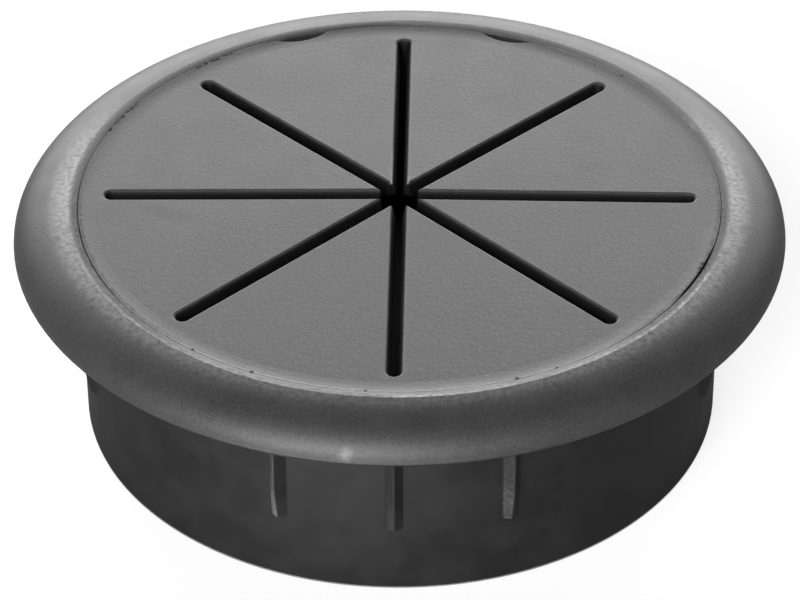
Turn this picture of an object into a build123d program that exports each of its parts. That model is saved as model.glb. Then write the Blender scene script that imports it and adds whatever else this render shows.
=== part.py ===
from build123d import *
import os
from math import acos, atan2, cos, degrees, pi, sin, tan

# Driving dimensions, in millimetres.
# The grommet stands on the foot of its barrel, at z = 0, round the Z axis, with a slit and a rib along -Y.
flange_radius = 35.0
barrel_radius = 29.3
barrel_wall = 2.0
barrel_length = 18.0
cap_top = 21.4
cap_thickness = 1.3

# Flange section: an elliptical bullnose that rolls over a crest and down to the seam round the cap.
nose_centre_radius = 29.0
nose_height = 3.227
crest_start_radius = 29.95
seam_rise = 0.107
seam_lead_in = 0.12
flange_edge_run = 0.28
flange_edge_rise = 0.4
foot_bevel = 0.22

# Ring hollowed out of the flange's underside, which keeps the moulding's walls even.
hollow_radius = 32.0
hollow_width = 2.0
hollow_depth = 1.3

# Fit of the cap in its recess.
recess_radius = 29.05
cap_side_gap = 0.04
lug_gap = 0.15
lug_reach = 0.4
lug_height = 0.55
lug_arc = 6.0

# Cap: its leaves rise a little towards the middle, and its margin curves up to the seam.
# Its slits have rounded upper edges and are narrower below than above.
crown_rise = 0.28
margin_start_radius = 27.6
margin_rise = 0.11
slit_count = 8
slit_top_width = 1.22
slit_low_width = 0.65
slit_end_radius = 26.68
slit_edge_round = 0.5
slit_run_out = 0.02
leaf_tip_radius = 1.85

# Pair of pry notches in the cap's edge, at the back, each a shallow bite with a curved inner side.
notch_length = 5.6
notch_width = 0.85
notch_depth = 0.65

# Grip ribs: groups of three, each a ridge that sinks towards its lower end.
group_count = 4
group_spread = 20.0
rib_height = 1.0
rib_base_width = 1.55
rib_top_width = 0.12
rib_foot = 6.8
rib_foot_height = 0.4
rib_lead_in = 3.4
root_overlap = 0.6

# Sizes that follow from those above.
bore_radius = barrel_radius - barrel_wall
ledge = cap_top - cap_thickness
leaf_slope = atan2(crown_rise, margin_start_radius)
crown_top = cap_top + crown_rise
crown_low = crown_top - cap_thickness
cap_radius = recess_radius - cap_side_gap
lug_radius = cap_radius + lug_reach
group_angles = [360 / group_count * i for i in range(group_count)]


def turned(section):
    return revolve(Plane.XZ * section, Axis.Z)


def ring_sector(inner, outer, low, high, arc, angle):
    section = Plane.XZ * Pos((inner + outer) / 2, (low + high) / 2) * Rectangle(outer - inner, high - low)
    return Rot(Z=angle - arc / 2) * revolve(section, Axis.Z, revolution_arc=arc)


def sleeve_section():
    widest = barrel_length + flange_edge_rise
    nose_length = flange_radius - nose_centre_radius
    nose_arc = degrees(acos((crest_start_radius - nose_centre_radius) / nose_length))
    lug_groove_top = ledge + lug_height + lug_gap
    lug_groove_radius = lug_radius + lug_gap
    seam_edge = cap_top + seam_rise

    outside = Polyline(
        (bore_radius, 0),
        (barrel_radius - foot_bevel, 0),
        (barrel_radius, foot_bevel),
        (barrel_radius, barrel_length),
        (hollow_radius - hollow_width / 2, barrel_length),
        (hollow_radius - hollow_width / 2, barrel_length + hollow_depth),
        (hollow_radius + hollow_width / 2, barrel_length + hollow_depth),
        (hollow_radius + hollow_width / 2, barrel_length),
        (flange_radius - flange_edge_run, barrel_length),
        (flange_radius, widest),
    )
    nose = EllipticalCenterArc((nose_centre_radius, widest), nose_length, nose_height, 0, arc_size=nose_arc)
    crest = TangentArc(nose @ 1, (recess_radius + seam_lead_in, seam_edge), tangent=nose % 1)
    inside = Polyline(
        crest @ 1,
        (recess_radius, seam_edge - seam_lead_in),
        (recess_radius, lug_groove_top),
        (lug_groove_radius, lug_groove_top),
        (lug_groove_radius, ledge),
        (bore_radius, ledge),
        (bore_radius, 0),
    )
    return make_face(Curve() + [outside, nose, crest, inside])


def rib_section(z, height):
    return Pos(Z=z) * make_face(
        Polyline(
            (barrel_radius - root_overlap, -rib_base_width / 2),
            (barrel_radius, -rib_base_width / 2),
            (barrel_radius + height, -rib_top_width / 2),
            (barrel_radius + height, rib_top_width / 2),
            (barrel_radius, rib_base_width / 2),
            (barrel_radius - root_overlap, rib_base_width / 2),
            close=True,
        )
    )


def grip_ribs():
    full_from = rib_foot + rib_lead_in
    full_section = rib_section(full_from, rib_height)
    sinking_end = loft([rib_section(rib_foot, rib_foot_height), full_section], ruled=True)
    ridge = extrude(full_section, barrel_length + root_overlap - full_from)
    rib = sinking_end + ridge
    angles = [a + step * group_spread for a in group_angles for step in (-1, 0, 1)]
    return [Rot(Z=a) * rib for a in angles]


def flanged_sleeve():
    return turned(sleeve_section()) + grip_ribs()


def slit_section():
    # Half of a slit at the middle of the cap, from its middle plane out to the flank and the round above it.
    # It runs a hair past both faces of the leaves.
    top = crown_top + slit_run_out
    low = crown_low - slit_run_out
    lean = atan2((slit_top_width - slit_low_width) / 2, top - low)
    tangent_length = slit_edge_round * tan((pi / 2 - lean) / 2)
    flank_end = (slit_top_width / 2 - tangent_length * sin(lean), top - tangent_length * cos(lean))
    flank = Line((slit_low_width / 2, low), flank_end)
    upper_round = TangentArc(flank @ 1, (slit_top_width / 2 + tangent_length, top), tangent=flank % 1)
    rest = Polyline(upper_round @ 1, (0, top), (0, low), flank @ 0)
    return Plane.XZ * make_face(Curve() + [flank, upper_round, rest])


def slits():
    # Each slit slopes with the leaves and has a round outer end.
    half = slit_section()
    reach = slit_end_radius - slit_top_width / 2
    straight = extrude(half + mirror(half, Plane.YZ), reach, dir=(0, 1, 0))
    end = Pos(Y=reach) * revolve(half, Axis.Z, revolution_arc=180)
    cutter = (straight + end).rotate(Axis((0, 0, crown_top), (1, 0, 0)), -degrees(leaf_slope))
    return [Rot(Z=360 / slit_count * i) * cutter for i in range(slit_count)]


def cap_section():
    tip_drop = leaf_tip_radius * tan(leaf_slope)
    leaf = Line((leaf_tip_radius, crown_top - tip_drop), (margin_start_radius, cap_top))
    margin = TangentArc(leaf @ 1, (cap_radius, cap_top + margin_rise), tangent=leaf % 1)
    rest = Polyline(
        margin @ 1,
        (cap_radius, ledge),
        (margin_start_radius, ledge),
        (leaf_tip_radius, crown_low - tip_drop),
        leaf @ 0,
    )
    return make_face(Curve() + [leaf, margin, rest])


def notches():
    # A bite of this radius is as long and as wide, measured on the cap's edge, as the notch.
    bite_radius = (notch_length**2 / 4 + notch_width**2) / (2 * notch_width)
    bite = Cylinder(bite_radius, 2 * notch_depth)
    middle = cap_radius - notch_width + bite_radius
    back = 90
    return [Rot(Z=back + side * group_spread) * Pos(middle, 0, cap_top) * bite for side in (-1, 1)]


def slit_cap():
    cap = turned(cap_section())
    for cutter in [*slits(), *notches()]:
        cap -= cutter
    lug_angles = [a + side * group_spread for a in group_angles for side in (-1, 1)]
    root_radius = cap_radius - root_overlap
    cap += [ring_sector(root_radius, lug_radius, ledge, ledge + lug_height, lug_arc, a) for a in lug_angles]
    return cap


os.makedirs("parts", exist_ok=True)
export_step(flanged_sleeve(), "parts/flanged_sleeve.step")
export_step(slit_cap(), "parts/slit_cap.step")
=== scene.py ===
import math
import bpy
from mathutils import Euler, Matrix, Vector

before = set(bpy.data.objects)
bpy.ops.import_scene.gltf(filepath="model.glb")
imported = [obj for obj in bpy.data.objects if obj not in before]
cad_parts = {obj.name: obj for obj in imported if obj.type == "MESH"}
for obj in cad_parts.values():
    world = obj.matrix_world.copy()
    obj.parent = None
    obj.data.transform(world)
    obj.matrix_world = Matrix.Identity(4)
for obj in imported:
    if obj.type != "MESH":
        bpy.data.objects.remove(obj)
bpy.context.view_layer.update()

print("grommet: frame loaded with", ", ".join(sorted(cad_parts)))


class Shade:  # a socket in a node tree, sums on it add Math nodes
    def __init__(self, tree, socket=None):
        self.tree = tree
        self.socket = socket

    def node(self, kind, settings=None, sockets=None, out=0):
        made = self.tree.nodes.new(kind)
        for key, value in (settings or {}).items():
            setattr(made, key, value)
        for key, value in (sockets or {}).items():
            if isinstance(value, Shade):
                self.tree.links.new(value.socket, made.inputs[key])
            else:
                made.inputs[key].default_value = value
        return Shade(self.tree, made.outputs[out] if len(made.outputs) else None)

    def maths(self, operation, *values):
        return self.node("ShaderNodeMath", {"operation": operation}, dict(enumerate(values)))

    def __add__(self, other):
        return self.maths("ADD", self, other)

    def __radd__(self, other):
        return self.maths("ADD", other, self)

    def __sub__(self, other):
        return self.maths("SUBTRACT", self, other)

    def __rsub__(self, other):
        return self.maths("SUBTRACT", other, self)

    def __mul__(self, other):
        return self.maths("MULTIPLY", self, other)

    def __rmul__(self, other):
        return self.maths("MULTIPLY", other, self)

    def __abs__(self):
        return self.maths("ABSOLUTE", self)

    def most(self, other):
        return self.maths("MAXIMUM", self, other)

    def least(self, other):
        return self.maths("MINIMUM", self, other)

    # noise lies round 0.5, its swing round 0
    def swing(self):
        return self - 0.5

    # 0 below low, 1 above high, eased between
    def rise(self, low, high):
        return self.node("ShaderNodeMapRange", {"interpolation_type": "SMOOTHSTEP"},
                         {"Value": self, "From Min": low, "From Max": high, "To Min": 0.0, "To Max": 1.0})

    def fall(self, low, high):
        return 1 - self.rise(low, high)

    # 1 between low and high, with eased sides
    def band(self, low, high, ease):
        return self.rise(low - ease, low) * self.fall(high, high + ease)


def axes(shade, vector):
    return [shade.node("ShaderNodeSeparateXYZ", None, {"Vector": vector}, name) for name in "XYZ"]


def distance(shade, across, along):
    return shade.maths("SQRT", across * across + along * along)


class Spot:  # where a point of the surface lies on the grommet, in metres and degrees, with azimuth 0 in front
    def __init__(self, shade):
        self.place = shade.node("ShaderNodeTexCoord", out="Object")
        self.x, self.y, self.z = axes(shade, self.place)
        self.radius = distance(shade, self.x, self.y)
        self.azimuth = shade.maths("ARCTAN2", self.x, 0 - self.y) * math.degrees(1)
        self.aside = abs(self.azimuth)


def grey(level):
    return (level, level, level, 1)


def newFinish(name):
    finish = bpy.data.materials.new(name)
    finish.use_nodes = True
    finish.node_tree.nodes.clear()
    return finish


def noise(shade, spot, size, detail, rough):
    return shade.node("ShaderNodeTexNoise", None,
                      {"Vector": spot.place, "Scale": 1 / size, "Detail": detail, "Roughness": rough})


def blend(shade, share, first, second):
    return shade.node("ShaderNodeMixShader", None, {0: share, 1: first, 2: second})


# What all the plastics and coats share
resin = {"ior": 1.5, "bumpStrength": 1.0, "coatRoughness": 0.40}


def plastic(shade, tone, rough, height, depth, specular, coat=0.0):
    colour = shade.node("ShaderNodeCombineColor", None, {"Red": tone, "Green": tone, "Blue": tone})
    bump = shade.node("ShaderNodeBump", None,
                      {"Strength": resin["bumpStrength"], "Distance": depth, "Height": height})
    return shade.node("ShaderNodeBsdfPrincipled", None,
                      {"Base Color": colour, "Roughness": rough, "Normal": bump, "IOR": resin["ior"],
                       "Specular IOR Level": specular, "Coat Weight": coat,
                       "Coat Roughness": resin["coatRoughness"]})


# Moulded grain of the flange and the cap. Sizes in metres.
grain = {
    "pits": {"size": 0.00040, "detail": 1.0, "rough": 0.5},
    "specks": {"size": 0.00028, "detail": 4.0, "rough": 0.75},
    "clouds": {"size": 0.0040, "detail": 3.0, "rough": 0.6},
    "pitShare": 0.5,
    "depth": 0.000026,
    "tone": 0.026,
    "cloudSwing": 0.30,
    "cloudGloss": 0.20,
    "cloudSpecks": 1.3,
    "speckRange": (0.36, 0.66),
    "roughness": 0.50,
    "roughnessSwing": 0.30,
    "specular": 0.41,
    "speckSpecular": 0.63,
}


# polish is a mask of where handling has smoothed the grain; the paleness mask is where it has gone paler, from wear
# and from painted highlights; scuff is where duller
def grainPlastic(shade, spot, polish, paleWearAndLight, scuff):
    pits = noise(shade, spot, **grain["pits"])
    specks = noise(shade, spot, **grain["specks"])
    clouds = noise(shade, spot, **grain["clouds"])
    tone = grain["tone"] * (1 + clouds.swing() * grain["cloudSwing"] + paleWearAndLight)
    rough = (grain["roughness"] + specks.swing() * grain["roughnessSwing"]
             + clouds.swing() * grain["cloudGloss"] - polish)
    height = pits * grain["pitShare"] + specks * (1 - grain["pitShare"])
    dull = plastic(shade, tone, rough, height, grain["depth"], grain["specular"])
    bright = plastic(shade, tone, rough, height, grain["depth"], grain["speckSpecular"])
    share = specks.rise(*grain["speckRange"]) + clouds.swing() * grain["cloudSpecks"]
    return blend(shade, share * (1 - scuff), dull, bright)


# Plain moulded wall of the barrel, and a darker, less glossy one in the slits: painted shade inside the slits
wall = {
    "mottle": {"size": 0.004, "detail": 4.0, "rough": 0.6},
    "flow": {"size": 0.0011, "detail": 2.0, "rough": 0.5},
    "tone": 0.004,
    "slitShadeTone": 0.003,
    "slitShadeSpecular": 0.16,
    "mottleSwing": 0.5,
    "mottleGloss": 0.11,
    "mottleRange": (0.35, 0.65),
    "depth": 0.000016,
    "roughness": 0.64,
    "roughnessSwing": 0.36,
    "specular": 0.40,
}


# the paleness argument is added to the tone; on the barrel it carries painted light on the ribs
def wallPlastic(shade, spot, base, specular, paleWearAndLight=0.0):
    mottle = noise(shade, spot, **wall["mottle"])
    flow = noise(shade, spot, **wall["flow"])
    tone = base * (1 + mottle.swing() * wall["mottleSwing"]) + paleWearAndLight
    rough = wall["roughness"] + mottle.swing() * wall["roughnessSwing"]
    dull = plastic(shade, tone, rough, flow, wall["depth"], specular * (1 - wall["mottleGloss"]))
    bright = plastic(shade, tone, rough, flow, wall["depth"], specular * (1 + wall["mottleGloss"]))
    return blend(shade, mottle.rise(*wall["mottleRange"]), dull, bright)


# What the painted highlight and painted shade in the seam round the cap share: their flecks of noise, and the heights
# that they reach down to
seam = {"flecks": {"size": 0.0005, "detail": 3.0, "rough": 0.6}, "low": (0.0207, 0.0209)}


def fleckedCoat(shade, fit, flecks):
    tone = fit["tone"] * (fit["least"] + flecks * fit["swing"])
    return plastic(shade, tone, fit["roughness"], flecks, fit["depth"], fit["specular"])


# Painted highlight along the seam: a pale coat, most of it in front, where the front light catches the seam's edges
seamHighlight = {
    "tone": 0.34, "least": 0.7, "swing": 0.6, "roughness": 0.95, "specular": 0.1, "depth": 0.00001,
    "inner": 0.02897, "outer": 0.02915, "edge": 0.00002,
    "front": (52, 66), "sides": (148, 158), "sideShare": 0.36,
}


def paintedSeamHighlight(spot):
    front = spot.aside.fall(*seamHighlight["front"])
    sides = spot.aside.fall(*seamHighlight["sides"])
    share = front * (1 - seamHighlight["sideShare"]) + sides * seamHighlight["sideShare"]
    ring = spot.radius.band(seamHighlight["inner"], seamHighlight["outer"], seamHighlight["edge"])
    return share * ring * spot.z.rise(*seam["low"])


# Painted shade in the groove on both sides of the seam, with little of it at the back
seamShade = {
    "inner": 0.02892, "outer": 0.02955, "edge": 0.00040, "ragged": 0.0007,
    "starts": (34, 50), "ends": (78, 108), "backShare": 0.15,
    "share": 0.50, "least": 0.45, "patchRange": (0.38, 0.62),
}


def paintedSideShade(spot, flecks):
    ragged = spot.radius + flecks.swing() * seamShade["ragged"]
    ring = ragged.band(seamShade["inner"], seamShade["outer"], seamShade["edge"])
    sides = spot.aside.rise(*seamShade["starts"]) * (1 - spot.aside.rise(*seamShade["ends"]) * (1 - seamShade["backShare"]))
    patchy = seamShade["least"] + flecks.rise(*seamShade["patchRange"]) * (1 - seamShade["least"])
    return ring * sides * seamShade["share"] * patchy


# Painted shade in the seam's gap and in its small nicks, dark and matt. Stretches: azimuth from and to, share filled,
# ease in degrees.
# Single dark dots of painted shade: azimuth, radius, size.
gapShade = {
    "tone": 0.004, "least": 0.6, "swing": 0.8, "roughness": 0.9, "specular": 0.08, "depth": 0.00002,
    "inner": 0.02891, "outer": 0.02912, "edge": 0.00006,
    "stretches": ((61, 70, 1.0, 9.0), (-120, -111, 0.40, 3.0), (-144, -138, 0.45, 3.0), (112, 135, 0.10, 5.0)),
    "fillFrom": 0.62, "fillTo": 0.74, "fillShift": 0.45,
    "flecks": ((66.2, 0.02902, 0.00034), (67.6, 0.02898, 0.00046), (69.0, 0.02898, 0.00044),
               (21.0, 0.02905, 0.00024), (-24.5, 0.02905, 0.00024), (-4.6, 0.02900, 0.00016),
               (28.3, 0.02905, 0.00016), (-36.5, 0.02900, 0.00018)),
    "dotRagged": 0.6, "dotCore": 0.4, "dotEdge": 1.2, "dotShare": 0.8,
}


def paintedGapShade(shade, spot, flecks):
    ring = spot.radius.band(gapShade["inner"], gapShade["outer"], gapShade["edge"])
    filled = paintedSideShade(spot, flecks)
    for low, high, share, ease in gapShade["stretches"]:
        shift = share * gapShade["fillShift"]
        patchy = flecks.rise(gapShade["fillFrom"] - shift, gapShade["fillTo"] - shift)
        filled = filled.most(spot.azimuth.band(low, high, ease) * patchy * ring)
    for azimuth, radius, size in gapShade["flecks"]:
        turn = math.radians(azimuth)
        away = distance(shade, spot.x - math.sin(turn) * radius, spot.y + math.cos(turn) * radius)
        away = away + flecks.swing() * (size * gapShade["dotRagged"])
        crumb = away.fall(size * gapShade["dotCore"], size * gapShade["dotEdge"])
        filled = filled.most(crumb * gapShade["dotShare"])
    return filled * spot.z.rise(*seam["low"])


# Lays the seam's painted highlight and painted shade over the body
def paintSeamLight(shade, spot, body):
    flecks = noise(shade, spot, **seam["flecks"])
    body = blend(shade, paintedSeamHighlight(spot), body, fleckedCoat(shade, seamHighlight, flecks))
    return blend(shade, paintedGapShade(shade, spot, flecks), body, fleckedCoat(shade, gapShade, flecks))


# Edges of the slits that cables rub: turns of the slits' middle planes, and how far off those the rub reaches
slits = {"turns": (0, 45, 90, 135), "reach": (0.00070, 0.00110), "end": (0.0270, 0.0273),
         "patchRange": (0.42, 0.62), "paleWearAndLight": 0.35}


def slitRub(spot, patches):
    off = None
    for turn in slits["turns"]:
        angle = math.radians(turn)
        away = abs(spot.x * math.cos(angle) + spot.y * math.sin(angle))
        off = away if off is None else off.least(away)
    edge = off.fall(*slits["reach"]) * spot.radius.fall(*slits["end"])
    return edge * patches.rise(*slits["patchRange"]) * slits["paleWearAndLight"]


# Painted highlights on the rounded edges of the leaves beside the back slit's inner end. Sides: right or left, and
# where it fades.
tips = {"inner": 0.00069, "outer": 0.00083, "edge": 0.00007, "start": (0.0017, 0.00177),
        "sides": ((1, 0.0012, 0.0042), (-1, 0.0058, 0.0088)), "paleWearAndLight": 3.6}


def paintedTipHighlights(spot):
    tipHighlights = 0
    for side, low, high in tips["sides"]:
        line = (spot.x * side).band(tips["inner"], tips["outer"], tips["edge"])
        tipHighlights = tipHighlights + line * spot.y.rise(*tips["start"]) * spot.y.fall(low, high)
    return tipHighlights


# Faint duller scuffs on the cap: middle across and back, half length and half width, turn in degrees, strength
scuffs = {"marks": ((-0.0208, -0.0030, 0.0040, 0.0012, -25, 1.0), (0.0166, 0.0055, 0.0042, 0.0014, -36, 0.9)),
          "edge": (0.3, 1.0), "patchRange": (0.30, 0.50)}


def capScuffs(shade, spot, patches):
    total = 0
    for across, back, length, width, turn, strength in scuffs["marks"]:
        angle = math.radians(turn)
        dx = spot.x - across
        dy = spot.y - back
        along = (dx * math.cos(angle) + dy * math.sin(angle)) * (1 / length)
        over = (dy * math.cos(angle) - dx * math.sin(angle)) * (1 / width)
        mark = distance(shade, along, over).fall(*scuffs["edge"])
        total = total + mark * patches.rise(*scuffs["patchRange"]) * strength
    return total


# The cap's leaves slope up to the middle, and what lies deeper under that slope than its face is slit wall
leaves = {"top": 0.02168, "slope": 0.010145, "face": (0.00002, 0.00020),
          "patches": {"size": 0.0012, "detail": 3.0, "rough": 0.6}}
notch = {"radius": (0.0279, 0.0280), "floor": (0.0206, 0.0207)}


def capFinish():
    finish = newFinish("capGrain")
    shade = Shade(finish.node_tree)
    spot = Spot(shade)
    patches = noise(shade, spot, **leaves["patches"])
    below = leaves["top"] - spot.z - spot.radius * leaves["slope"]
    notchFloor = spot.radius.rise(*notch["radius"]) * spot.z.rise(*notch["floor"])
    tipHighlights = paintedTipHighlights(spot)
    face = below.fall(*leaves["face"]).most(notchFloor).most(tipHighlights)
    # slit edge wear, and the painted highlights on the leaf tips
    paleWearAndLight = slitRub(spot, patches) + tipHighlights * tips["paleWearAndLight"]
    # the slit walls take the darker plastic, painted shade in the slits
    shadedSlitWall = wallPlastic(shade, spot, wall["slitShadeTone"], wall["slitShadeSpecular"])
    skin = grainPlastic(shade, spot, 0.0, paleWearAndLight, capScuffs(shade, spot, patches))
    body = paintSeamLight(shade, spot, blend(shade, face, shadedSlitWall, skin))
    shade.node("ShaderNodeOutputMaterial", None, {"Surface": body})
    return finish


# Pale spot on the flange's lower edge at the front: a painted highlight
edgeGlint = {"azimuth": -6.4, "height": 0.0191, "wide": 1.0, "tall": 0.0006, "ragged": 1.6, "edge": (0.0, 1.5),
         "outside": (0.0342, 0.0344), "paleWearAndLight": 3.2}


def paintedEdgeGlint(shade, spot, patches):
    across = (spot.azimuth - edgeGlint["azimuth"]) * (1 / edgeGlint["wide"])
    up = (spot.z - edgeGlint["height"]) * (1 / edgeGlint["tall"])
    away = distance(shade, across, up) + patches.swing() * edgeGlint["ragged"]
    return away.fall(*edgeGlint["edge"]) * spot.radius.rise(*edgeGlint["outside"]) * edgeGlint["paleWearAndLight"]


# Painted light on the front ribs: the left flank of each is painted paler, in patches, less on the middle rib and
# more towards the left and on the lower part
ribLight = {
    "spread": 20.0, "front": (30, 35), "ridge": 0.15, "step": 1, "flank": (0.02932, 0.02950), "top": (0.0178, 0.0179),
    "foot": (0.0085, 0.0120), "paleWearAndLight": 0.026, "middleShare": 0.2, "leftStart": 1.1, "leftShare": 0.025,
    "least": 0.5, "patches": 0.8, "patchRange": (0.35, 0.65),
}


def paintedRibLight(shade, spot, patches):
    half = ribLight["spread"] / 2
    across = shade.maths("FLOORED_MODULO", spot.azimuth + half, ribLight["spread"]) - half
    litFlank = across.fall(-ribLight["ridge"], ribLight["ridge"]) * spot.aside.fall(*ribLight["front"])
    outer = spot.aside.rise(half - ribLight["step"], half + ribLight["step"])
    outer = ribLight["middleShare"] + outer * (1 - ribLight["middleShare"])
    flank = spot.z.fall(*ribLight["top"]) * spot.radius.rise(*ribLight["flank"])
    flankLight = ribLight["least"] + patches.rise(*ribLight["patchRange"]) * ribLight["patches"]
    flankLight = flankLight * (ribLight["leftStart"] - spot.azimuth * ribLight["leftShare"]) * (1 + spot.z.fall(*ribLight["foot"]))
    return litFlank * outer * flank * flankLight * ribLight["paleWearAndLight"]


# The flange's crest, where it is handled most: rubbed all round, polished and greasy in front and at the sides
crest = {
    "patches": {"size": 0.0005, "detail": 2.0, "rough": 0.6},
    "rises": (0.0293, 0.0301), "falls": (0.0303, 0.0322), "sides": (82, 128),
    "paleWearAndLight": 0.30, "rubRange": (0.45, 0.65), "polish": 0.09, "polishPatches": 0.4,
    "greaseSpecular": 1.0, "greaseRoughness": 0.40, "greaseCoat": 0.45, "greaseRange": (0.18, 0.72),
    "greaseLeast": 0.8, "greaseSwing": 0.4,
}
flange = {"underside": (0.0180, 0.0184), "inside": (0.02895, 0.02902)}


def sleeveFinish():
    finish = newFinish("sleeveGrainAndWall")
    shade = Shade(finish.node_tree)
    spot = Spot(shade)
    patches = noise(shade, spot, **crest["patches"])
    top = spot.radius.rise(*crest["rises"]) * spot.radius.fall(*crest["falls"])
    handled = top * spot.aside.fall(*crest["sides"])
    # the crest's rubbed wear, and the painted highlight on the flange's lower front edge
    paleWearAndLight = top * patches.rise(*crest["rubRange"]) * crest["paleWearAndLight"] + paintedEdgeGlint(shade, spot, patches)
    polish = handled * (crest["polish"] + patches.swing() * crest["polishPatches"])
    skin = grainPlastic(shade, spot, polish, paleWearAndLight, 0.0)
    greaseTone = grain["tone"] * (crest["greaseLeast"] + patches * crest["greaseSwing"])
    grease = plastic(shade, greaseTone, crest["greaseRoughness"], patches, grain["depth"],
                     crest["greaseSpecular"], crest["greaseCoat"])
    skin = blend(shade, handled * patches.rise(*crest["greaseRange"]), skin, grease)
    # the ribs' painted light goes into the barrel's tone
    barrel = wallPlastic(shade, spot, wall["tone"], wall["specular"], paintedRibLight(shade, spot, patches))
    onFlange = spot.z.rise(*flange["underside"]) * spot.radius.rise(*flange["inside"])
    body = paintSeamLight(shade, spot, blend(shade, onFlange, barrel, skin))
    shade.node("ShaderNodeOutputMaterial", None, {"Surface": body})
    return finish


def dress(node, finish):
    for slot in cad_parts[node].material_slots:
        slot.link = "OBJECT"
        slot.material = finish


dress("slit_cap", capFinish())
dress("flanged_sleeve", sleeveFinish())
print("grommet: plastics made")


# Pale table in a dim room. The table doesn't glow inside the barrel, and in reflections it doesn't glow close round
# the barrel's foot: a painted contact shadow there.
room = {"floorSize": 6.0, "floorTone": 0.30, "mirrorGlow": 0.06, "mirrorFrom": (0.0300, 0.0320),
        "viewGlow": 0.72, "viewFrom": (0.0292, 0.0293), "sideLight": 0.34, "sides": (30, 60)}

# Two wide soft boxes, in degrees as seen from the grommet: half width and its fade, lower edge, upper edge
softBoxes = {
    "behind": {"bright": 6.9, "azimuth": 182, "spread": (19, 45), "rises": (-7, 9), "falls": (26, 42)},
    "inFront": {"bright": 12.5, "azimuth": -20, "spread": (8, 28), "rises": (-20, -10), "falls": (40, 60)},
}


def viewed(shade):
    return shade.node("ShaderNodeLightPath", out="Is Camera Ray")


def mirrored(shade):
    glossy = shade.node("ShaderNodeLightPath", out="Is Glossy Ray")
    through = shade.node("ShaderNodeLightPath", out="Is Transmission Ray")
    return glossy.most(through)


def glowing(shade, matt, strength):
    glow = shade.node("ShaderNodeEmission", None, {"Color": grey(1), "Strength": strength})
    return shade.node("ShaderNodeAddShader", None, {0: matt, 1: glow})


def makeFloor():
    half = room["floorSize"] / 2
    corners = [(-half, -half, 0), (half, -half, 0), (half, half, 0), (-half, half, 0)]
    mesh = bpy.data.meshes.new("floor")
    mesh.from_pydata(corners, [], [(0, 1, 2, 3)])
    floor = bpy.data.objects.new("floor", mesh)
    bpy.context.scene.collection.objects.link(floor)
    finish = newFinish("paleFloor")
    shade = Shade(finish.node_tree)
    radius = Spot(shade).radius
    matt = shade.node("ShaderNodeBsdfDiffuse", None, {"Color": grey(room["floorTone"])})
    # no mirror glow close round the foot, a painted contact shadow in reflections
    inMirror = radius.rise(*room["mirrorFrom"]) * mirrored(shade)
    inView = radius.rise(*room["viewFrom"]) * viewed(shade)
    pale = blend(shade, inMirror, matt, glowing(shade, matt, room["mirrorGlow"]))
    pale = blend(shade, inView, pale, glowing(shade, matt, room["viewGlow"]))
    shade.node("ShaderNodeOutputMaterial", None, {"Surface": pale})
    mesh.materials.append(finish)


def backdrop(shade, strength):
    return shade.node("ShaderNodeBackground", None, {"Color": grey(1), "Strength": strength})


def makeRoom():
    world = bpy.data.worlds.new("dimRoom")
    world.use_nodes = True
    world.node_tree.nodes.clear()
    shade = Shade(world.node_tree)
    x, y, z = axes(shade, shade.node("ShaderNodeTexCoord", out="Generated"))
    lift = shade.maths("ARCSINE", z) * math.degrees(1)
    light = blend(shade, lift.fall(*room["sides"]), backdrop(shade, 0.0), backdrop(shade, room["sideLight"]))
    for box in softBoxes.values():
        turn = math.radians(box["azimuth"])
        ahead = x * math.sin(turn) - y * math.cos(turn)
        aside = x * math.cos(turn) + y * math.sin(turn)
        off = abs(shade.maths("ARCTAN2", aside, ahead) * math.degrees(1))
        share = off.fall(*box["spread"]) * lift.rise(*box["rises"]) * lift.fall(*box["falls"])
        light = blend(shade, share, light, backdrop(shade, box["bright"]))
    seen = blend(shade, viewed(shade), light, backdrop(shade, 1.0))
    shade.node("ShaderNodeOutputWorld", None, {"Surface": seen})
    bpy.context.scene.world = world


# A patch of light on the table in front, which the barrel mirrors
tableLight = {"azimuth": -14, "away": 0.078, "height": 0.30, "reach": 0.036, "energy": 31.0, "blend": 0.3,
              "size": 0.01}


def makeTableLight():
    lamp = bpy.data.lights.new("tableLight", "SPOT")
    lamp.energy = tableLight["energy"]
    lamp.spot_size = 2 * math.atan(tableLight["reach"] / tableLight["height"])
    lamp.spot_blend = tableLight["blend"]
    lamp.shadow_soft_size = tableLight["size"]
    holder = bpy.data.objects.new("tableLight", lamp)
    bpy.context.scene.collection.objects.link(holder)
    turn = math.radians(tableLight["azimuth"])
    away = tableLight["away"]
    holder.location = (math.sin(turn) * away, -math.cos(turn) * away, tableLight["height"])


makeFloor()
makeRoom()
makeTableLight()
print("grommet: floor, room and lamp set")


# Camera as the photograph was taken: it looks at the middle of the cap, then tips and rolls a little
shot = {"target": (0, 0, 0.0214), "distance": 0.32148, "azimuth": 1.2, "elevation": 34.51, "tip": 1.672,
        "roll": -0.3676, "lens": 159.74, "sensor": 36, "clipStart": 0.01, "clipEnd": 20}


def makeCamera():
    eye = bpy.data.cameras.new("shot")
    eye.lens = shot["lens"]
    eye.sensor_width = shot["sensor"]
    eye.clip_start = shot["clipStart"]
    eye.clip_end = shot["clipEnd"]
    holder = bpy.data.objects.new("shot", eye)
    bpy.context.scene.collection.objects.link(holder)
    turn = math.radians(shot["azimuth"])
    lift = math.radians(shot["elevation"])
    back = Vector((math.sin(turn) * math.cos(lift), -math.cos(turn) * math.cos(lift), math.sin(lift)))
    facing = Euler((math.pi / 2 - lift, 0, turn)).to_matrix()
    facing = facing @ Matrix.Rotation(-math.radians(shot["tip"]), 3, "X")
    facing = facing @ Matrix.Rotation(math.radians(shot["roll"]), 3, "Z")
    holder.location = Vector(shot["target"]) + back * shot["distance"]
    holder.rotation_euler = facing.to_euler()
    bpy.context.scene.camera = holder


makeCamera()
bpy.context.scene.view_settings.view_transform = "Standard"
print("grommet: camera set")
